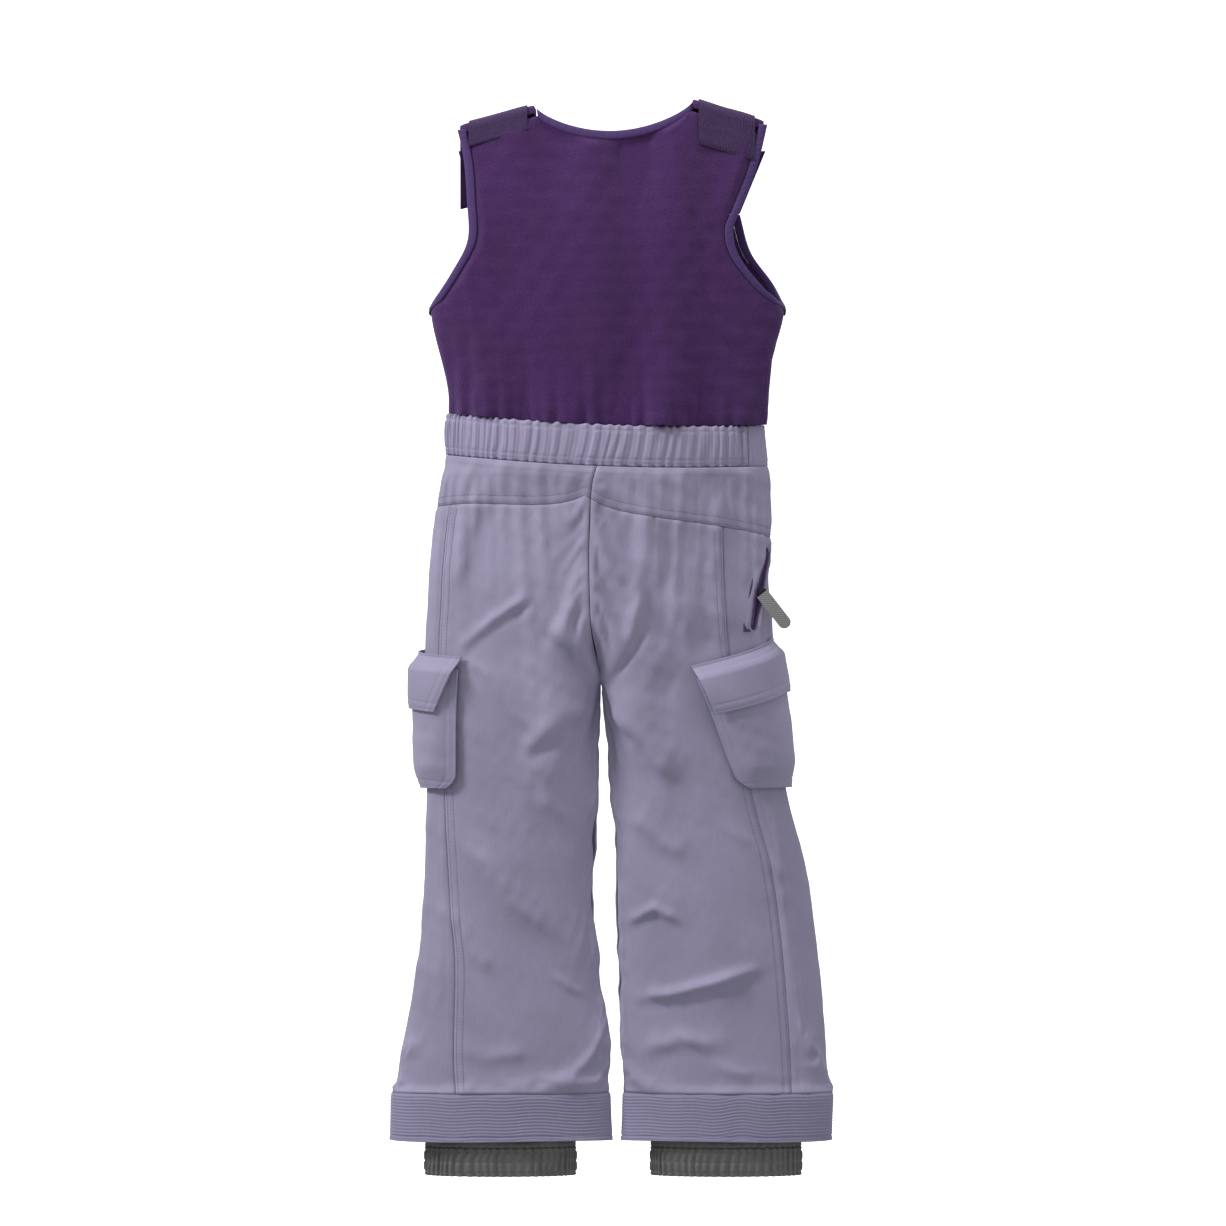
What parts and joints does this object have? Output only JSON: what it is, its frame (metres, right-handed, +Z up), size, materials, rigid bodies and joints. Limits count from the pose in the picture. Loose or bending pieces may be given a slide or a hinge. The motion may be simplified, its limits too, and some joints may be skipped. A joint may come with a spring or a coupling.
{
  "type": "child's ski bib trousers",
  "caption": "Child's insulated ski trousers with a sleeveless fleece bodice, gathered waist, flapped thigh pockets and elasticated inner gaiters.",
  "frame": {"origin": "between the shoulders at the height where a hanger carries the folded straps", "axes": "+Z up the hung garment, -Y out of the wearer's back, -X to the wearer's left"},
  "size_m": [0.4005, 0.0927, 0.975],
  "materials": {
    "shell": "matte",
    "cuff": "matte",
    "fleece": "matte",
    "loop_pile": "matte",
    "binding": "satin",
    "lining": "satin",
    "nylon": "satin",
    "elastic": "matte",
    "webbing": "matte",
    "zip_tape": "matte",
    "coil": "satin",
    "slider": "satin"
  },
  "bodies": {
    "garment": {"back_panel_left": "shell", "side_panel_left": "shell", "front_panel_left": "shell", "back_yoke_left": "shell", "cargo_pocket_left": "shell", "waistband_front_left": "shell", "hem_cuff_left": "cuff", "lining_left": "lining", "hand_pocket_bag_left": "lining", "gaiter_skirt_left": "nylon", "gaiter_elastic_left": "nylon", "bodice_front_left": "fleece", "shoulder_strap_left": "fleece", "armhole_binding_left": "binding", "shoulder_loop_patch_left": "loop_pile", "pouch_loop_strip_left": "loop_pile", "hand_zip_tape_left": "zip_tape", "hand_zip_coil_left": "coil", "front_zip_tape_left": "zip_tape", "back_panel_right": "shell", "side_panel_right": "shell", "front_panel_right": "shell", "back_yoke_right": "shell", "cargo_pocket_right": "shell", "waistband_front_right": "shell", "hem_cuff_right": "cuff", "lining_right": "lining", "hand_pocket_bag_right": "lining", "gaiter_skirt_right": "nylon", "gaiter_elastic_right": "nylon", "bodice_front_right": "fleece", "shoulder_strap_right": "fleece", "armhole_binding_right": "binding", "shoulder_loop_patch_right": "loop_pile", "pouch_loop_strip_right": "loop_pile", "hand_zip_tape_right": "zip_tape", "hand_zip_coil_right": "coil", "front_zip_tape_right": "zip_tape", "waistband_back": "shell", "waist_elastic": "elastic", "bodice_back": "fleece", "neck_binding": "binding", "front_zip_coil": "coil"},
    "cargo_flap_left": {"cargo_flap_left": "shell", "flap_hook_strip_left": "loop_pile"},
    "cargo_flap_right": {"cargo_flap_right": "shell", "flap_hook_strip_right": "loop_pile"},
    "hand_slider_left": {"hand_zip_slider_left": "slider"},
    "hand_puller_left": {"hand_zip_puller_left": "webbing"},
    "hand_slider_right": {"hand_zip_slider_right": "slider"},
    "hand_puller_right": {"hand_zip_puller_right": "webbing"},
    "front_slider": {"front_zip_slider": "slider"},
    "front_puller": {"front_zip_puller": "webbing"},
    "shoulder_tab_left": {"shoulder_tab_left": "fleece", "tab_hook_patch_left": "loop_pile"},
    "shoulder_tab_right": {"shoulder_tab_right": "fleece", "tab_hook_patch_right": "loop_pile"}
  },
  "joints": [
    {"name": "cargo_flap_left_lift", "type": "hinge", "parent": "garment", "child": "cargo_flap_left", "pos_m": [-0.17119, 0, -0.47824], "axis": [0, 1, 0], "range_deg": [0, 75]},
    {"name": "cargo_flap_right_lift", "type": "hinge", "parent": "garment", "child": "cargo_flap_right", "pos_m": [0.07497, -0.03396, -0.49476], "axis": [-0.9536, 0, -0.3011], "range_deg": [0, 75]},
    {"name": "hand_zip_right_slide", "type": "slide", "parent": "garment", "child": "hand_slider_right", "axis": [0.2045, 0.1366, 0.9693], "range_m": [-0.022, 0.031]},
    {"name": "hand_puller_right_swing", "type": "hinge", "parent": "hand_slider_right", "child": "hand_puller_right", "pos_m": [0.13992, -0.01888, -0.42925], "axis": [-0.8197, 0, -0.5728], "range_deg": [0, 100]},
    {"name": "hand_zip_left_slide", "type": "slide", "parent": "garment", "child": "hand_slider_left", "axis": [-0.184, -0.109, 0.9769], "range_m": [-0.045, 0.002]},
    {"name": "hand_puller_left_swing", "type": "hinge", "parent": "hand_slider_left", "child": "hand_puller_left", "pos_m": [-0.13968, 0.02632, -0.39768], "axis": [0.9888, 0, -0.149], "range_deg": [0, 100]},
    {"name": "front_zip_slide", "type": "slide", "parent": "garment", "child": "front_slider", "axis": [0, 0.0366, -0.9993], "range_m": [0, 0.24]},
    {"name": "front_puller_swing", "type": "hinge", "parent": "front_slider", "child": "front_puller", "pos_m": [0.004, 0.03228, -0.11668], "axis": [1, 0, 0], "range_deg": [0, 80]},
    {"name": "shoulder_tab_left_peel", "type": "hinge", "parent": "garment", "child": "shoulder_tab_left", "pos_m": [-0.094, 0.0215, -0.0839], "axis": [-1, 0, 0], "range_deg": [0, 100]},
    {"name": "shoulder_tab_right_peel", "type": "hinge", "parent": "garment", "child": "shoulder_tab_right", "pos_m": [0.0985, 0.0215, -0.0839], "axis": [-1, 0, 0], "range_deg": [0, 100]}
  ]
}
